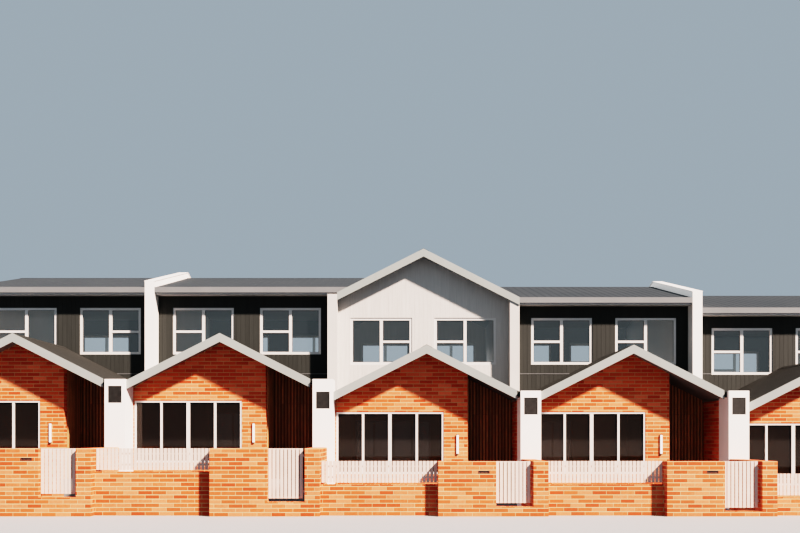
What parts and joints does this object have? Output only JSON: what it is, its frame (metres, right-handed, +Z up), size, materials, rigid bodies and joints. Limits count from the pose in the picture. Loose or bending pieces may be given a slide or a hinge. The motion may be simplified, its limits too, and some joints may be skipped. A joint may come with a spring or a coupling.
{
  "type": "terraced house row",
  "caption": "Row of two-storey terraced houses with brick gable fronts, entry porches, white parapets, dark and white clad upper floors, and front yards with slatted gates.",
  "frame": {"origin": "middle of the row's footprint at the lowest ground, which all walls run down to", "axes": "+X along the row to the right as seen from the street, +Y from the street to the rear, +Z up"},
  "size_m": [28.04, 15.1, 7.6603],
  "materials": {
    "brick": "red-orange clay brick with pale mortar",
    "white_render": "smooth painted render",
    "white_cladding": "vertical board cladding, painted white",
    "dark_cladding": "vertical board cladding, charcoal",
    "dark_panel": "charcoal panel",
    "dark_timber": "dark red-brown stained vertical battens",
    "grey_roof": "mid grey ribbed roof sheet",
    "pale_metal": "pale folded capping",
    "white_board": "painted barge board",
    "grey_board": "dark grey fascia and soffit board",
    "cream_gutter": "cream gutter",
    "white_frame": "white powder-coated window frame",
    "window_glass": "tinted window glass",
    "white_fence": "white slats and rails",
    "white_lamp": "white bar light",
    "concrete": "plain concrete",
    "floor_board": "plain floor"
  },
  "bodies": {
    "row": {"ground_slabs": "concrete", "upper_floors": "floor_board", "party_walls": "brick", "end_walls": "white_render", "parapet_blades": "white_render", "parapet_cappings": "pale_metal", "wing_walls": "white_render", "entry_piers": "white_render", "pier_panels": "dark_panel", "front_gable_walls": "brick", "room_side_walls": "dark_timber", "porch_back_walls": "dark_timber", "entry_doors": "dark_timber", "front_gable_roofs": "grey_roof", "front_barges": "white_board", "box_gutters": "grey_roof", "dark_front_walls": "dark_cladding", "dark_rear_walls": "dark_cladding", "white_gable_walls": "white_cladding", "rear_brick_walls": "brick", "ground_window_frames": "white_frame", "ground_window_glass": "window_glass", "upper_window_frames": "white_frame", "upper_window_glass": "window_glass", "main_roofs": "grey_roof", "white_gable_roof": "grey_roof", "white_gable_barges": "white_board", "ridge_cappings": "grey_roof", "eaves_gutters": "cream_gutter", "eaves_boards": "grey_board", "wall_lights": "white_lamp", "fence_walls": "brick", "gate_piers": "brick", "dividing_walls": "brick", "fence_plinths": "brick", "gate_hinges": "white_fence", "picket_fence_1": "white_fence", "picket_fence_2": "white_fence", "picket_fence_3": "white_fence", "picket_fence_4": "white_fence", "picket_fence_5": "white_fence"},
    "gate_1": {"gate_1": "white_fence"},
    "gate_2": {"gate_2": "white_fence"},
    "gate_3": {"gate_3": "white_fence"},
    "gate_4": {"gate_4": "white_fence"},
    "gate_5": {"gate_5": "white_fence"}
  },
  "joints": [
    {"name": "gate_1_hinge", "type": "hinge", "parent": "row", "child": "gate_1", "pos_m": [-8.54, -7.37, 1.12], "axis": [0, 0, -1], "range_deg": [0, 90]},
    {"name": "gate_2_hinge", "type": "hinge", "parent": "row", "child": "gate_2", "pos_m": [-3.04, -7.37, 1.12], "axis": [0, 0, -1], "range_deg": [0, 90]},
    {"name": "gate_3_hinge", "type": "hinge", "parent": "row", "child": "gate_3", "pos_m": [2.46, -7.37, 0.81], "axis": [0, 0, -1], "range_deg": [0, 90]},
    {"name": "gate_4_hinge", "type": "hinge", "parent": "row", "child": "gate_4", "pos_m": [7.96, -7.37, 0.81], "axis": [0, 0, -1], "range_deg": [0, 90]},
    {"name": "gate_5_hinge", "type": "hinge", "parent": "row", "child": "gate_5", "pos_m": [13.46, -7.37, 0.5], "axis": [0, 0, -1], "range_deg": [0, 90]}
  ]
}
